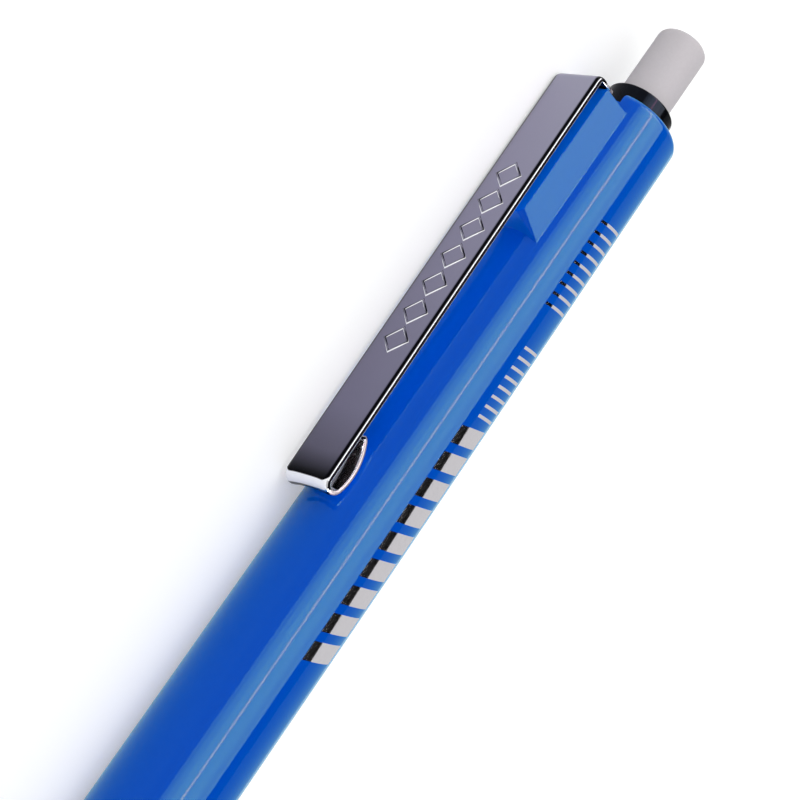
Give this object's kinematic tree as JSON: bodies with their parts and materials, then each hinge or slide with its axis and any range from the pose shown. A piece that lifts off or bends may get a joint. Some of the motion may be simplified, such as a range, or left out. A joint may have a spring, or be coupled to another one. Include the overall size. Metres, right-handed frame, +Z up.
{
  "type": "mechanical pencil",
  "caption": "Push-top mechanical pencil for thin lead, with a round barrel, moulded clip block, folded strip clip, push button that holds an eraser, and a chuck, spring and lead tube inside.",
  "frame": {"origin": "on the pencil's axis at the open end of the lead sleeve", "axes": "the pencil lies on a table as it rests, on its barrel and the clip's corner; +X runs along the axis out of the tip, the eraser is towards -X, the clip points to -Y and a little down, +Z is up"},
  "size_m": [0.1407, 0.0136, 0.01],
  "materials": {
    "blue_plastic": "smooth gloss moulding",
    "clip_chrome": "bright chrome on spring steel",
    "black_plastic": "smooth semi-gloss moulding",
    "eraser_rubber": "matt light grey",
    "tip_nickel": "polished nickel plate",
    "steel": "drawn steel",
    "black_rubber": "matt",
    "brass": "turned brass",
    "white_plastic": "milky moulding",
    "graphite": "dull graphite and polymer rod"
  },
  "bodies": {
    "body": {"barrel": "blue_plastic", "tip_cone": "tip_nickel", "lead_sleeve": "steel", "lead_retainer": "black_rubber", "chuck_sleeve": "black_plastic", "return_spring": "steel"},
    "clip": {"pocket_clip": "clip_chrome"},
    "knock": {"knock_button": "black_plastic", "lead_reservoir": "white_plastic", "reservoir_coupler": "white_plastic", "chuck": "brass", "spare_lead_1": "graphite", "spare_lead_2": "graphite", "spare_lead_3": "graphite"},
    "eraser": {"eraser": "eraser_rubber"},
    "ring": {"chuck_ring": "brass"},
    "lead": {"writing_lead": "graphite"}
  },
  "joints": [
    {"name": "knock", "type": "slide", "parent": "body", "child": "knock", "axis": [1, 0, 0], "range_m": [0, 0.0035], "stiffness_N_per_m": 400, "springref_m": -0.004, "deforming": ["return_spring"]},
    {"name": "ring_follow", "type": "slide", "parent": "body", "child": "ring", "axis": [1, 0, 0], "range_m": [0, 0.0012]},
    {"name": "lead_feed", "type": "slide", "parent": "body", "child": "lead", "axis": [1, 0, 0], "range_m": [-0.0006, 0.003]},
    {"name": "eraser_pull", "type": "slide", "parent": "knock", "child": "eraser", "axis": [-1, 0, 0], "range_m": [0, 0.007]},
    {"name": "clip_flex", "type": "hinge", "parent": "body", "child": "clip", "pos_m": [-0.12873, -0.00516, -0.00158], "axis": [0, 0.2926, -0.9562], "range_deg": [0, 3.5], "stiffness_Nm_per_rad": 1.5, "springref_deg": -1.72}
  ],
  "couplings": [
    {"joint": "ring_follow", "follows": "knock", "ratio": 0.34}
  ]
}
